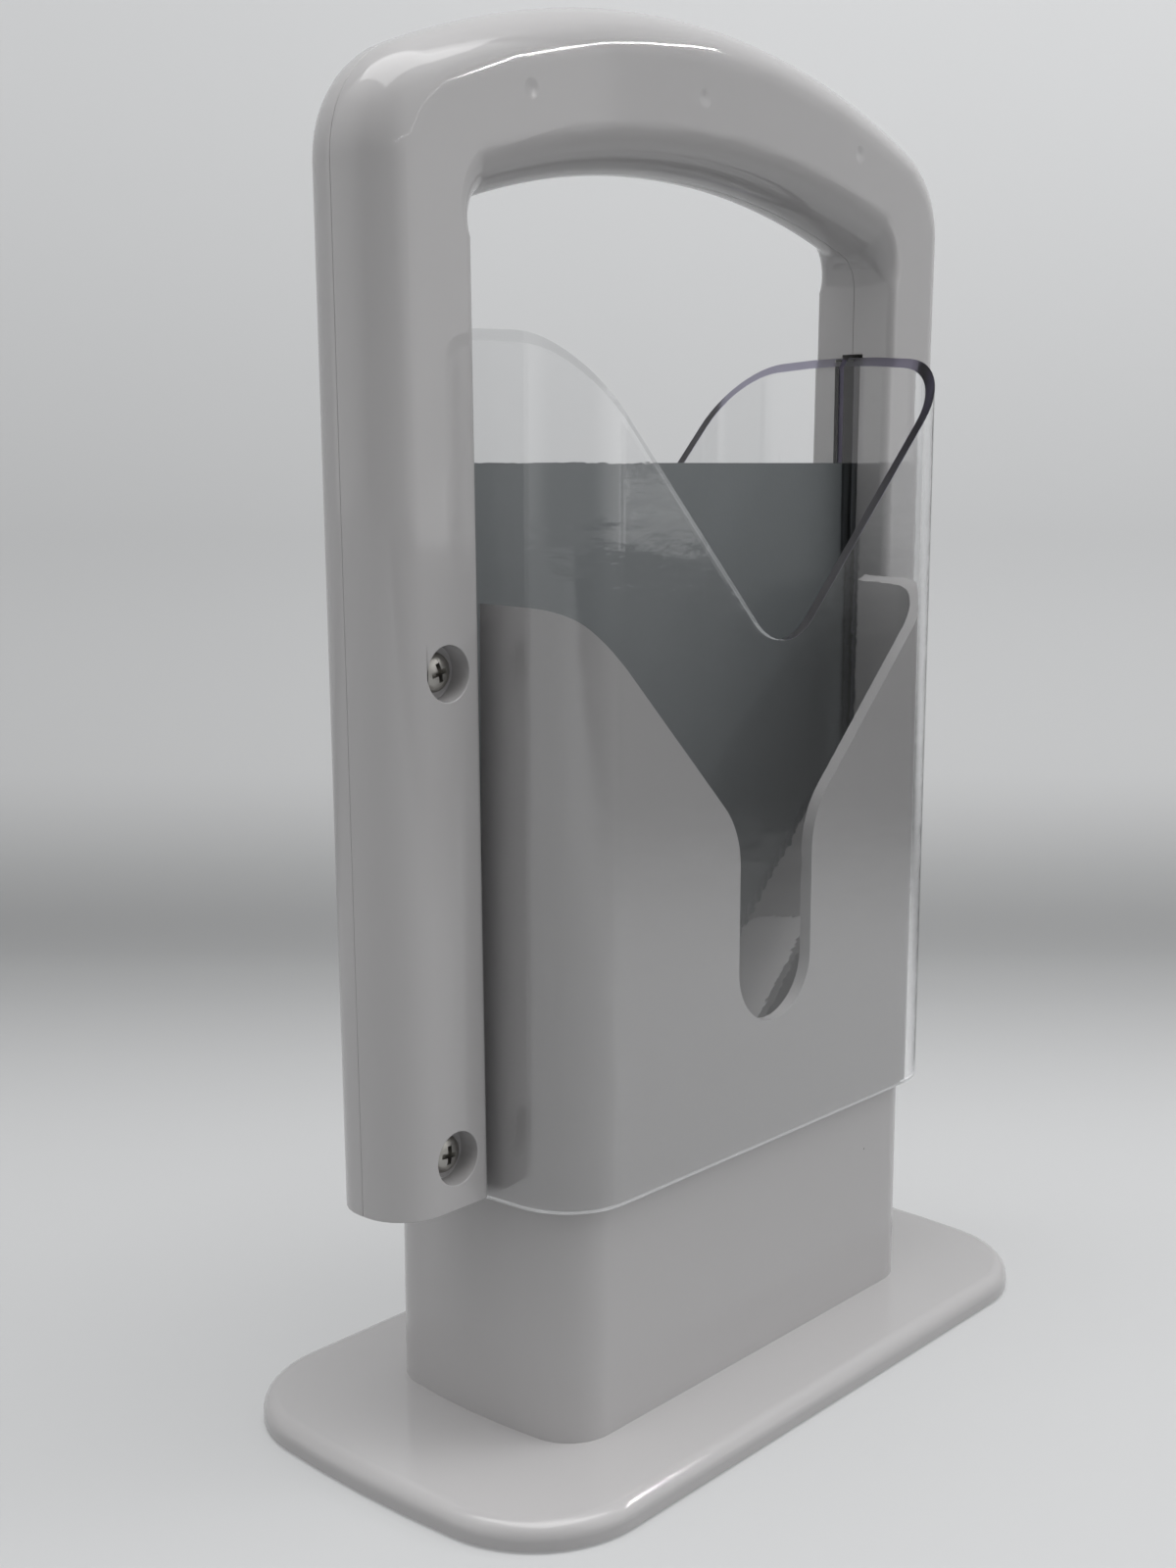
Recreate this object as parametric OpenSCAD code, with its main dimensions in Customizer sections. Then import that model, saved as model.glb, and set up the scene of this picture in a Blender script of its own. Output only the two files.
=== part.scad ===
// Bagel guillotine slicer: a V-shaped coated blade, two clear guards and an arched
// handle slide as one over a holder that stands on a foot plate.
// X runs along the length, Y from front to back, Z up, and the feet stand on Z = 0.
// The slide is drawn raised by lift above its lowest place.

/* [Foot plate] */
// Length of the foot plate
plate_l = 178; // [160:1:200]
// Width of the foot plate
plate_w = 92; // [84:1:110]
// Thickness of the foot plate at its rim
plate_t = 5; // [4.5:0.5:8]
// Wall of the foot plate over its hollow underside
plate_wall = 2.6; // [2:0.1:3]
// Width of the rim round the hollow underside
rim_w = 5; // [4:0.5:8]
// Radius of the foot plate's corners in plan
plate_corner_r = 24.5; // [16:0.5:30]
// How far each short end of the foot plate bows out
plate_bow = 4; // [2:0.5:6]
// Rounding of the foot plate's upper edge
plate_round_r = 3.2; // [1:0.1:3.8]
// Radius of one rubber foot
foot_r = 6; // [4:0.5:7]
// How far a rubber foot stands out below the foot plate
foot_proud = 0.5; // [0.3:0.1:1]

/* [Holder] */
// Inside length of the holder, the widest bagel that it takes
bay_l = 117.6; // [100:0.1:125]
// Inside width of the holder, the thickest bagel that it takes
bay_w = 51; // [44:0.5:60]
// Wall thickness of the holder
body_wall = 2.6; // [2:0.1:3.5]
// Outer corner radius of the holder in plan
body_corner_r = 12; // [8:0.5:16]
// How far each short end of the holder bows out
body_bow = 2.5; // [1:0.5:4]
// Height of the pedestal above the foot plate
pedestal_h = 48.5; // [45:0.5:60]
// How far the holder steps out over the pedestal all round
body_step = 1.8; // [1:0.1:2.4]
// Height of the holder above the pedestal
holder_h = 113.6; // [105:0.1:125]
// Height of the bottom of the V seat above the foot plate
seat_h = 16.2; // [14:0.1:20]
// Slope of the V seat's two sides
seat_angle = 47; // [44:1:48]
// Thickness of the V seat
seat_t = 2.6; // [2:0.1:3]
// Width of the gap that lets the blade through the seat
seat_gap_w = 10.8; // [8:0.2:12]
// Width of the gap that lets the blade through the end walls
blade_gap_w = 13.6; // [12:0.2:16]

/* [Notch in the walls and guards] */
// Width of the slot at the foot of the notch
slot_w = 24.2; // [18:0.2:30]
// Height of the slot's bottom above the pedestal
slot_h = 25.1; // [22:0.1:34]
// Depth of the V from the holder's top to the point where its sides would meet
notch_d = 59.4; // [56:0.1:62]
// Slope of the V's sides
notch_angle = 45; // [43:1:47]
// Radius where the V's sides run into the slot
notch_blend_r = 18; // [10:1:20]
// Rounding where the V meets the holder's upper edge
ear_r = 18; // [12:1:24]
// Height of the point of the guards' V above their lower edge
guard_notch_h = 98.2; // [96:0.2:102]
// Radius at the bottom of the guards' V
guard_v_r = 13; // [6:1:14]

/* [Guards] */
// Wall of a clear guard
guard_t = 2; // [1.5:0.1:2.5]
// Running clearance between the guards and the holder
guard_gap = 0.3; // [0.2:0.1:1]
// Height of a guard
guard_h = 162.5; // [155:0.5:170]
// How far a guard's flange reaches into the handle
flange_l = 15; // [12:0.5:17]

/* [Blade] */
// Thickness of the blade
blade_t = 1.2; // [0.8:0.1:1.6]
// Height of the blade from its point to its back
blade_h = 129.8; // [124:0.1:136]
// Slope of the cutting edges
blade_angle = 45; // [43:0.5:46]
// How far the point goes below the seat when the slide is fully down
blade_overshoot = 7.6; // [5:0.1:8]
// Pitch of the scallops along the cutting edges
tooth_pitch = 3.2; // [2.4:0.1:5]
// Depth of one scallop
tooth_d = 0.8; // [0.4:0.1:1.2]
// Width of the ground bevel along the cutting edges
bevel_w = 3; // [2:0.5:5]

/* [Handle] */
// Width of a leg at its lower end, seen from the front
leg_w = 23; // [21:0.5:28]
// How much wider a leg is at its upper end
leg_flare = 0.6; // [0:0.1:2]
// How far a leg's lower end stands in from its upper end
leg_lean = 2; // [0:0.1:3]
// Depth of the handle from front to back
handle_d = 21.2; // [19:0.2:26]
// Height of the handle
handle_h = 223.2; // [218:0.2:240]
// Height of the arch at the middle of the handle
arch_h = 30.2; // [27:0.2:33]
// Radius of the arch's upper side
arch_r = 200; // [180:5:260]
// Radius of the arch's underside
arch_in_r = 195; // [180:5:260]
// Radius where the arch turns down into the legs, outside
turn_r = 22; // [18:1:23]
// Radius where the arch turns down into the legs, inside
turn_in_r = 8; // [5:1:12]
// Rounding of the handle's outer edges
outer_round_r = 9.6; // [5:0.2:9.8]
// Rounding of the legs' inner edges
inner_round_r = 2; // [1:0.5:4]
// Rounding of the grip under the arch
grip_round_r = 9.4; // [5:0.2:9.8]
// Clearance between the guards and the legs' lower ends
leg_gap = 0.4; // [0.2:0.1:1.5]
// Wall of the hollow handle
handle_wall = 3; // [2:0.1:3.2]
// Height of the legs above the foot plate when the slide is fully down
leg_ground_gap = 1.3; // [1:0.1:4]
// Angle from the middle of the arch to its outer pegs
peg_turn = 12; // [8:1:14]
// How far the slide stands raised
lift = 48; // [0:0.1:48]

/* [Screws] */
// Radius of a screw's head
head_r = 3.65; // [3:0.05:4]
// Height of a screw's head
head_h = 2.4; // [2:0.1:3]
// Radius of a screw's shank
shank_r = 1.6; // [1.3:0.1:2]
// Length of a handle screw below its head
handle_screw_l = 13.5; // [12:0.5:15]
// Length of a base screw below its head
base_screw_l = 13; // [10:0.5:16]
// Radius of the counterbores that take the handle screws' heads
counterbore_r = 5.1; // [4.5:0.1:5.8]
// Depth of the counterbores in the handle
counterbore_d = 4.6; // [4:0.1:5]
// Height of the lower handle screws above the legs' ends
screw_low_h = 9.9; // [8:0.1:14]
// Height of the upper handle screws above the legs' ends
screw_high_h = 100.2; // [90:0.1:110]

/* [Hidden] */

$fn = 96;
// one overrun serves every cut
over = 1;
// running clearance of a screw in its hole, and of the flanges in their groove
hole_gap = 0.05;
groove_gap = 0.15;
// what is left under the guards when they stop on the foot plate
stop_gap = 0.2;
white = "#e8e8ec";
arc_steps = 12;
rim_steps = 8;
turn_steps = 10;
arch_steps = 12;

// Heights, from the table up
plate_z = foot_proud;
plate_top = plate_z + plate_t;
pedestal_top = plate_top + pedestal_h;
holder_top = pedestal_top + holder_h;
seat_z = plate_top + seat_h;
leg_z = plate_top + leg_ground_gap + lift;
guard_z = plate_top + stop_gap + lift;
guard_top = guard_z + guard_h;
blade_tip = seat_z - blade_overshoot + lift;
blade_top = blade_tip + blade_h;
handle_top = leg_z + handle_h;

// Half sizes in plan
body_half_l = bay_l / 2 + body_wall;
body_half_w = bay_w / 2 + body_wall;
guard_in = guard_gap;
guard_out = guard_gap + guard_t;
leg_in_x = body_half_l + guard_out + leg_gap;
leg_out_x = leg_in_x + leg_w;
leg_in_top = leg_in_x + leg_lean;
leg_out_top = leg_out_x + leg_lean + leg_flare;
half_d = handle_d / 2;
flange_out = leg_in_x + flange_l;

// The cutting edges end at the blade's shoulders, which lie beyond the end walls
shoulder_z = blade_tip + body_half_l * tan(blade_angle);
gap_bottom = pedestal_top + 0.8 * body_wall;

// The points of the V in the walls and in the guards
notch_z = holder_top - notch_d;
guard_notch_z = guard_z + guard_notch_h;

// Base screws and feet
base_screw_x_share = 0.78;
base_screw_y_share = 0.5;
handle_screw_share = 0.37;
base_screw_x = base_screw_x_share * body_half_l;
base_screw_y = base_screw_y_share * body_half_w;
boss_r = 2.4 * shank_r;
foot_x = plate_l / 2 - plate_corner_r;
foot_y = plate_w / 2 - rim_w - foot_r - over;
foot_t = plate_t / 2;

// Arcs and rounded corners

// points of an arc of radius r about c from angle a to angle b
function arc(c, r, a, b, n = arc_steps) =
    [for (i = [0 : n]) c + r * [cos(a + (b - a) * i / n), sin(a + (b - a) * i / n)]];

// one corner p between p0 and p1, rounded to the radius r
function rounded_corner(p0, p, p1, r) =
    let (u = (p0 - p) / norm(p0 - p), v = (p1 - p) / norm(p1 - p),
         half = acos(u * v) / 2, m = (u + v) / norm(u + v),
         c = p + m * r / sin(half),
         t0 = p + u * r / tan(half), t1 = p + v * r / tan(half),
         a = atan2(t0[1] - c[1], t0[0] - c[0]), b = atan2(t1[1] - c[1], t1[0] - c[0]),
         turn = b - a > 180 ? b - a - 360 : b - a < -180 ? b - a + 360 : b - a)
    r == 0 ? [p] : arc(c, r, a, a + turn);

// a closed outline whose corners are [x, y, radius]
function rounded_outline(pts) =
    let (n = len(pts), xy = [for (p = pts) [p[0], p[1]]])
    [for (i = [0 : n - 1])
        for (q = rounded_corner(xy[(i + n - 1) % n], xy[i], xy[(i + 1) % n], pts[i][2])) q];

// Plan of the mouldings: a rectangle with round corners, whose short ends bow out

function end_r(half_w, bow) = (half_w * half_w + bow * bow) / (2 * bow);
function corner_x(half_l, half_w, r, bow) =
    let (e = end_r(half_w, bow)) half_l - e + sqrt(pow(e - r, 2) - pow(half_w - r, 2));

function bowed_outline(half_l, half_w, r, bow) =
    let (e = end_r(half_w, bow), cx = corner_x(half_l, half_w, r, bow), cy = half_w - r,
         a = atan2(cy, cx - half_l + e),
         end = arc([half_l - e, 0], e, -a, a, 4),
         corner = arc([cx, cy], r, a, 90),
         last = len(corner) - 1,
         right = concat(
             [for (i = [last : -1 : 1]) [corner[i][0], -corner[i][1]]], end, [for (i = [1 : last]) corner[i]]))
    concat(right, [for (p = right) -p]);

module bowed_plan(half_l, half_w, r, bow) {
    polygon(bowed_outline(half_l, half_w, r, bow));
}

// as it stands for side 1, mirrored in X for side -1
module scale_x(side) {
    if (side > 0) children();
    else mirror([1, 0, 0]) children();
}

// the same plan as a slab from z = 0 to h, with its upper edge rounded to the radius rim
module bowed_slab(half_l, half_w, r, bow, h, rim) {
    steps = [for (i = [0 : rim_steps]) let (t = 90 * i / rim_steps) [rim * (1 - cos(t)), h - rim * (1 - sin(t))]];
    rings = [for (q = concat([[0, 0]], steps))
        [for (v = bowed_outline(half_l - q[0], half_w - q[0], r - q[0], bow)) [v[0], v[1], q[1]]]];
    n = len(rings[0]);
    m = len(rings);
    polyhedron(points = [for (q = rings) for (v = q) v], faces = sweep_faces(n, m));
}

// faces of m rings of n points, each ring counter-clockwise seen from the last one
function sweep_faces(n, m) = concat(
    [[for (j = [0 : n - 1]) j]],
    [for (i = [0 : m - 2], j = [0 : n - 1]) [i * n + j, (i + 1) * n + j, i * n + (j + 1) % n]],
    [for (i = [0 : m - 2], j = [0 : n - 1]) [i * n + (j + 1) % n, (i + 1) * n + j, (i + 1) * n + (j + 1) % n]],
    [[for (j = [n - 1 : -1 : 0]) (m - 1) * n + j]]);

// the holder's plan, grown by d
module body_plan(d) {
    bowed_plan(body_half_l + d, body_half_w + d, body_corner_r + d, body_bow);
}

// the foot plate's plan, drawn in by d
module plate_plan(d) {
    bowed_plan(plate_l / 2 - d, plate_w / 2 - d, plate_corner_r - d, plate_bow);
}

// Places of the fasteners and feet

module at_base_screw(side_x, side_y) {
    translate([side_x * base_screw_x, side_y * base_screw_y, plate_z]) children();
}

module at_foot(side_x, side_y) {
    translate([side_x * foot_x, side_y * foot_y, 0]) children();
}

// a handle screw's seat, with the screw running back along +Y
module at_handle_screw(side_x, h) {
    x = leg_in_x + leg_lean * h / (turn_z - leg_z) + handle_screw_share * leg_w;
    translate([side_x * x, -half_d + counterbore_d, leg_z + h]) rotate([-90, 0, 0]) children();
}

module at_every_handle_screw() {
    for (side_x = [-1, 1], h = [screw_low_h, screw_high_h]) at_handle_screw(side_x, h) children();
}

// Screw with a domed head and a cross recess, its seat on Z = 0 and its point up +Z

module screw(l) {
    dome_r = (head_r * head_r + head_h * head_h) / (2 * head_h);
    recess_w = head_r / 4;
    recess_l = 1.3 * head_r;
    point_l = 1.5 * shank_r;
    difference() {
        union() {
            intersection() {
                translate([0, 0, dome_r - head_h]) sphere(dome_r);
                translate([0, 0, -head_h]) cylinder(r = head_r, h = head_h);
            }
            cylinder(r = shank_r, h = l - point_l);
            translate([0, 0, l - point_l]) cylinder(r1 = shank_r, r2 = shank_r / 4, h = point_l);
        }
        for (a = [0, 90])
            rotate([0, 0, a]) translate([-recess_l / 2, -recess_w / 2, -head_h - over])
                cube([recess_l, recess_w, over + 0.6 * head_h]);
    }
}

// Foot plate, hollow below, with bosses round the screws and the feet

module foot_plate() {
    recess_d = plate_t - plate_wall;
    boss = head_r + 2 * over;
    color(white) difference() {
        union() {
            translate([0, 0, plate_z])
                bowed_slab(plate_l / 2, plate_w / 2, plate_corner_r, plate_bow, plate_t, plate_round_r);
        }
        difference() {
            translate([0, 0, plate_z - over]) linear_extrude(recess_d + over) plate_plan(rim_w);
            for (sx = [-1, 1], sy = [-1, 1]) {
                at_base_screw(sx, sy) cylinder(r = boss, h = recess_d);
                at_foot(sx, sy) cylinder(r = foot_r + 2 * over, h = plate_t);
            }
            for (x = [-1, 1])
                translate([x * base_screw_x - plate_wall / 2, -plate_w / 2, plate_z])
                    cube([plate_wall, plate_w, recess_d]);
            for (y = [-1, 1])
                translate([-plate_l / 2, y * base_screw_y - plate_wall / 2, plate_z])
                    cube([plate_l, plate_wall, recess_d]);
        }
        for (sx = [-1, 1], sy = [-1, 1]) {
            at_base_screw(sx, sy) translate([0, 0, -over]) cylinder(r = head_r + hole_gap, h = head_h + over);
            at_base_screw(sx, sy) cylinder(r = shank_r + hole_gap, h = plate_t + over);
            at_foot(sx, sy) cylinder(r = foot_r + hole_gap, h = foot_t);
        }
    }
}

module base_screw(sx, sy) {
    color("silver") at_base_screw(sx, sy) translate([0, 0, head_h]) screw(base_screw_l);
}

module foot(sx, sy) {
    edge = foot_proud;
    color("#8d8f92") at_foot(sx, sy) rotate_extrude()
        polygon([[0, 0], [foot_r - edge, 0], [foot_r, edge], [foot_r, foot_t], [0, foot_t]]);
}

// Front view of what is cut from the walls: a slot that opens into a V, and the air above the holder

module wall_notch() {
    half = slot_w / 2;
    blend_z = notch_z + half * tan(notch_angle);
    x_top = notch_d / tan(notch_angle);
    x_far = body_half_l + ear_r;
    top = holder_top + over;
    slot_z = pedestal_top + slot_h + half;
    translate([0, slot_z]) circle(half);
    translate([-half, slot_z]) square([slot_w, blend_z - slot_z]);
    polygon(rounded_outline([
        [half, slot_z, 0], [half, blend_z, notch_blend_r], [x_top, holder_top, ear_r],
        [x_far, holder_top, 0], [x_far, top, 0], [-x_far, top, 0], [-x_far, holder_top, 0],
        [-x_top, holder_top, ear_r], [-half, blend_z, notch_blend_r], [-half, slot_z, 0]]));
}

// Front view of the guards' V

module guard_notch() {
    top = guard_top + over;
    x_top = (top - guard_notch_z) / tan(notch_angle);
    polygon(rounded_outline([[0, guard_notch_z, guard_v_r], [x_top, top, 0], [-x_top, top, 0]]));
}

// Holder: walls on a narrower pedestal, and a V seat split by the blade's gap

module seat_profile() {
    run = body_half_l;
    rise = run * tan(seat_angle);
    drop = seat_t / cos(seat_angle);
    polygon(rounded_outline([
        [0, seat_z, 4 * seat_t], [run, seat_z + rise, 0], [run, seat_z + rise - drop, 0],
        [0, seat_z - drop, 5 * seat_t], [-run, seat_z + rise - drop, 0], [-run, seat_z + rise, 0]]));
}

// the space inside the walls, or the whole outside with d = 0
module body_form(d) {
    translate([0, 0, plate_top - (d == 0 ? 0 : over)])
        linear_extrude(pedestal_h + (d == 0 ? 0 : over)) body_plan(-body_step - d);
    translate([0, 0, pedestal_top + (d == 0 ? 0 : body_wall)])
        linear_extrude(holder_h + over) body_plan(-d);
    if (d > 0)
        translate([0, 0, pedestal_top - over]) linear_extrude(body_wall + 2 * over) body_plan(-body_step - d);
}

module holder_body() {
    span = 2 * (body_half_w + over);
    wall_gap_x = bay_l / 2 - over;
    color(white) difference() {
        union() {
            difference() {
                body_form(0);
                body_form(body_wall);
            }
            intersection() {
                rotate([90, 0, 0]) linear_extrude(span, center = true) seat_profile();
                body_form(body_wall / 2);
            }
            for (sx = [-1, 1], sy = [-1, 1]) {
                at_base_screw(sx, sy) translate([0, 0, plate_t]) cylinder(r = boss_r, h = base_screw_l + over);
                // a web from the boss to the wall
                mirror([0, sy > 0 ? 0 : 1, 0])
                    translate([sx * base_screw_x - body_wall / 2, base_screw_y, plate_top])
                        cube([body_wall, body_half_w - body_step - body_wall / 2 - base_screw_y, base_screw_l]);
            }
        }
        // gaps for the blade, through the end walls and between the two seats
        for (side = [-1, 1]) scale_x(side)
            translate([wall_gap_x, -blade_gap_w / 2, gap_bottom])
                cube([body_half_l - wall_gap_x + over, blade_gap_w, holder_top]);
        translate([-bay_l / 2, -seat_gap_w / 2, gap_bottom]) cube([bay_l, seat_gap_w, holder_top]);
        translate([-bay_l / 2 + body_step + body_bow, -seat_gap_w / 2, seat_z - 2 * seat_t])
            cube([bay_l - 2 * (body_step + body_bow), seat_gap_w, holder_top]);
        rotate([90, 0, 0]) linear_extrude(span, center = true) wall_notch();
        for (sx = [-1, 1], sy = [-1, 1])
            at_base_screw(sx, sy) cylinder(r = shank_r + hole_gap, h = head_h + base_screw_l + hole_gap);
    }
}

// Blade: one sheet with a scalloped V edge, bevelled on both faces

// points of one cutting edge from the tip to the shoulder, for side 1
function edge_points() =
    let (l = norm([body_half_l, body_half_l * tan(blade_angle)]), n = round(l / tooth_pitch), q = 4,
         d = [cos(blade_angle), sin(blade_angle)], up = [-sin(blade_angle), cos(blade_angle)])
    [for (i = [0 : n - 1], k = [0 : q - 1])
        let (t = (i + k / q) * l / n) [0, blade_tip] + t * d + tooth_d * sin(180 * k / q) * up];

module blade_outline() {
    side = edge_points();
    last = len(side) - 1;
    polygon(concat(
        side,
        [[body_half_l, shoulder_z], [flange_out, shoulder_z], [flange_out, blade_top],
         [-flange_out, blade_top], [-flange_out, shoulder_z], [-body_half_l, shoulder_z]],
        [for (i = [last : -1 : 1]) [-side[i][0], side[i][1]]]));
}

module blade() {
    edge = blade_t / 8;
    slope = (blade_t / 2 - edge) / (bevel_w + tooth_d);
    run = (body_half_l - 2 * over) / cos(blade_angle);
    color("#5b6168") difference() {
        rotate([90, 0, 0]) linear_extrude(blade_t, center = true) blade_outline();
        for (side = [-1, 1], face = [0, 1])
            scale_x(side) mirror([0, face, 0]) translate([0, 0, blade_tip]) rotate([0, -blade_angle, 0])
                translate([-over, 0, 0]) rotate([90, 0, 90]) linear_extrude(run)
                    polygon([
                        [edge - slope * over, -over], [blade_t / 2 + slope * over, bevel_w + tooth_d + over],
                        [blade_t, bevel_w + tooth_d + over], [blade_t, -over]]);
        at_every_handle_screw() cylinder(r = shank_r + hole_gap, h = handle_screw_l);
    }
}

// Guards: clear C-shaped shells, whose flanges lie on the blade's faces inside the legs

module guard_shell() {
    flange_z = leg_z + handle_wall;
    mid_x = body_half_l + guard_in + guard_t / 2;
    difference() {
        translate([0, 0, guard_z]) linear_extrude(guard_h) difference() {
            body_plan(guard_out);
            body_plan(guard_in);
        }
        translate([-leg_in_x, -blade_t / 2, guard_z - over]) cube([2 * leg_in_x, body_half_w * 2, guard_h + 2 * over]);
        rotate([90, 0, 0]) linear_extrude(2 * leg_in_x, center = true) guard_notch();
    }
    for (side = [-1, 1]) scale_x(side) {
        translate([mid_x, -blade_t / 2 - guard_t, guard_z])
            cube([leg_in_x - mid_x - groove_gap, guard_t, guard_h - over]);
        translate([mid_x, -blade_t / 2 - guard_t, flange_z])
            cube([flange_out - mid_x, guard_t, guard_top - over - flange_z]);
    }
}

module front_guard() {
    color("#bcd2dd", 0.4) difference() {
        guard_shell();
        at_every_handle_screw() cylinder(r = shank_r + hole_gap, h = handle_screw_l);
    }
}

module rear_guard() {
    color("#bcd2dd", 0.4) difference() {
        mirror([0, 1, 0]) guard_shell();
        at_every_handle_screw() cylinder(r = shank_r + hole_gap, h = handle_screw_l);
    }
}

// Handle: an arch on two legs, parted along the blade's plane

// Places of the turns from arch to leg, outside and inside
arch_z = handle_top - arch_r;
turn_x = leg_out_top - turn_r;
turn_a = asin(turn_x / (arch_r - turn_r));
turn_z = arch_z + (arch_r - turn_r) * cos(turn_a);
arch_in_z = handle_top - arch_h - arch_in_r;
turn_in_x = leg_in_top - turn_in_r;
turn_in_a = asin(turn_in_x / (arch_in_r - turn_in_r));
turn_in_z = arch_in_z + (arch_in_r - turn_in_r) * cos(turn_in_a);

// a section in X and Y, swung about the arch's axis from angle a to angle b
module swing(a, b) {
    rotate([90, 0, 0]) mirror([0, 0, 1]) rotate([0, 0, a]) rotate_extrude(angle = b - a) children();
}

// a point and its outward normal at angle a of an arc of radius r about c
function on_arc(c, r, a) = [c + r * [cos(a), sin(a)], [cos(a), sin(a)]];

// points and normals up one side of the handle, from the leg's end to the middle of the arch
function side_run(x, r, turn_c, turn_r, turn_end, arch_c) = concat(
    [[[x, leg_z], [1, 0]]],
    [for (i = [0 : turn_steps]) on_arc(turn_c, turn_r, turn_end * i / turn_steps)],
    [for (i = [1 : arch_steps]) on_arc(arch_c, r, turn_end + (90 - turn_end) * i / arch_steps)]);

// how round the inner edge is, from the leg's end to the middle of the arch
function inner_rounds() = concat(
    [inner_round_r],
    [for (i = [0 : turn_steps]) inner_round_r + (grip_round_r - inner_round_r) * i / turn_steps],
    [for (i = [1 : arch_steps]) grip_round_r]);

// one section across the handle, from the blade's plane round the rear face and back
function handle_section(out, inn, inn_r) = concat(
    [[out[0][0], 0, out[0][1]]],
    [for (i = [0 : rim_steps])
        let (a = 90 * i / rim_steps, q = out[0] - outer_round_r * (1 - cos(a)) * out[1])
        [q[0], half_d - outer_round_r * (1 - sin(a)), q[1]]],
    [for (i = [rim_steps : -1 : 0])
        let (a = 90 * i / rim_steps, q = inn[0] + inn_r * (1 - cos(a)) * inn[1])
        [q[0], half_d - inn_r * (1 - sin(a)), q[1]]],
    [[inn[0][0], 0, inn[0][1]]]);

function flipped(section) = [for (q = section) [-q[0], q[1], q[2]]];

// the outside of the rear half, swept along the arch
module outer_form() {
    rounds = inner_rounds();
    outs = side_run(leg_out_x, arch_r, [turn_x, turn_z], turn_r, 90 - turn_a, [0, arch_z]);
    inns = side_run(leg_in_x, arch_in_r, [turn_in_x, turn_in_z], turn_in_r, 90 - turn_in_a, [0, arch_in_z]);
    right = [for (i = [0 : len(outs) - 1]) handle_section(outs[i], inns[i], rounds[i])];
    sections = concat(right, [for (i = [len(right) - 2 : -1 : 0]) flipped(right[i])]);
    n = len(sections[0]);
    m = len(sections);
    polyhedron(points = [for (q = sections) for (v = q) v], faces = sweep_faces(n, m));
}

// the hollow of the rear half: the arch, and the legs between their screws
module hollow_form() {
    w = half_d - handle_wall;
    leg_w_in = leg_w - leg_lean - handle_wall - outer_round_r;
    clamp = 2 * counterbore_r;
    r_in = handle_top - arch_h - arch_z;
    margin = 1.5 * handle_wall;
    end_a = asin((turn_in_x - handle_wall) / arch_r);
    translate([0, 0, arch_z]) swing(90 - end_a, 90 + end_a)
        translate([r_in + margin, -over]) square([arch_h - 2 * margin, half_d - outer_round_r / 2 + over]);
    for (z = [[screw_low_h + clamp, screw_high_h - clamp], [screw_high_h + clamp, guard_top - leg_z - clamp]])
        for (side = [-1, 1]) scale_x(side)
            translate([leg_in_top + handle_wall, -over, leg_z + z[0]]) cube([leg_w_in, w + over, z[1] - z[0]]);
}

// the rear half, before its bores
module handle_half() {
    boss = 2 * shank_r;
    difference() {
        outer_form();
        difference() {
            hollow_form();
            at_pegs() cylinder(r = boss, h = half_d);
        }
        // the groove that clamps the flanges
        for (side = [-1, 1]) scale_x(side)
            translate([leg_in_x - inner_round_r, -over, leg_z + handle_wall - groove_gap])
                cube([flange_l + inner_round_r + groove_gap, over + blade_t / 2 + guard_t + groove_gap,
                      guard_top - leg_z - handle_wall + 2 * groove_gap]);
    }
}

// the pegs that line up the two halves, along +Y from the blade's plane
module at_pegs() {
    r = arch_r - arch_h / 2;
    for (a = [-peg_turn, 0, peg_turn])
        translate([r * sin(a), 0, arch_z + r * cos(a)]) rotate([-90, 0, 0]) children();
}

module handle_rear() {
    color(white) {
        difference() {
            handle_half();
            at_every_handle_screw() cylinder(r = shank_r + hole_gap, h = handle_screw_l + hole_gap);
        }
        at_pegs() translate([0, 0, -half_d / 2]) cylinder(r = shank_r, h = half_d);
    }
}

module handle_front() {
    color(white) difference() {
        mirror([0, 1, 0]) handle_half();
        at_every_handle_screw() cylinder(r = shank_r + hole_gap, h = handle_screw_l);
        at_every_handle_screw() translate([0, 0, -counterbore_d - over]) cylinder(r = counterbore_r, h = counterbore_d + over);
        at_pegs() translate([0, 0, -half_d / 2 - groove_gap]) cylinder(r = shank_r + hole_gap, h = half_d);
    }
}

module handle_screw(side_x, h) {
    color("silver") at_handle_screw(side_x, h) screw(handle_screw_l);
}

foot_plate();
holder_body();
base_screw(-1, -1);  // base_screw_front_left
base_screw(1, -1);  // base_screw_front_right
base_screw(-1, 1);  // base_screw_rear_left
base_screw(1, 1);  // base_screw_rear_right
foot(-1, -1);  // foot_front_left
foot(1, -1);  // foot_front_right
foot(-1, 1);  // foot_rear_left
foot(1, 1);  // foot_rear_right
blade();
front_guard();
rear_guard();
handle_front();
handle_rear();
handle_screw(-1, screw_high_h);  // handle_screw_upper_left
handle_screw(1, screw_high_h);  // handle_screw_upper_right
handle_screw(-1, screw_low_h);  // handle_screw_lower_left
handle_screw(1, screw_low_h);  // handle_screw_lower_right
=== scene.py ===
# %% [markdown]
# # A bagel guillotine slicer, dressed for its picture
#
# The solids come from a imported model, in metres, with the slicer standing on z = 0, its long side along X
# and its front towards -Y. Here every piece gets its finish, soft edges where a mould leaves them, and a
# pale studio. The model is loaded once and never moved, so everything made below already lies in the right
# place.

# %% Load the model
import math

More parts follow.
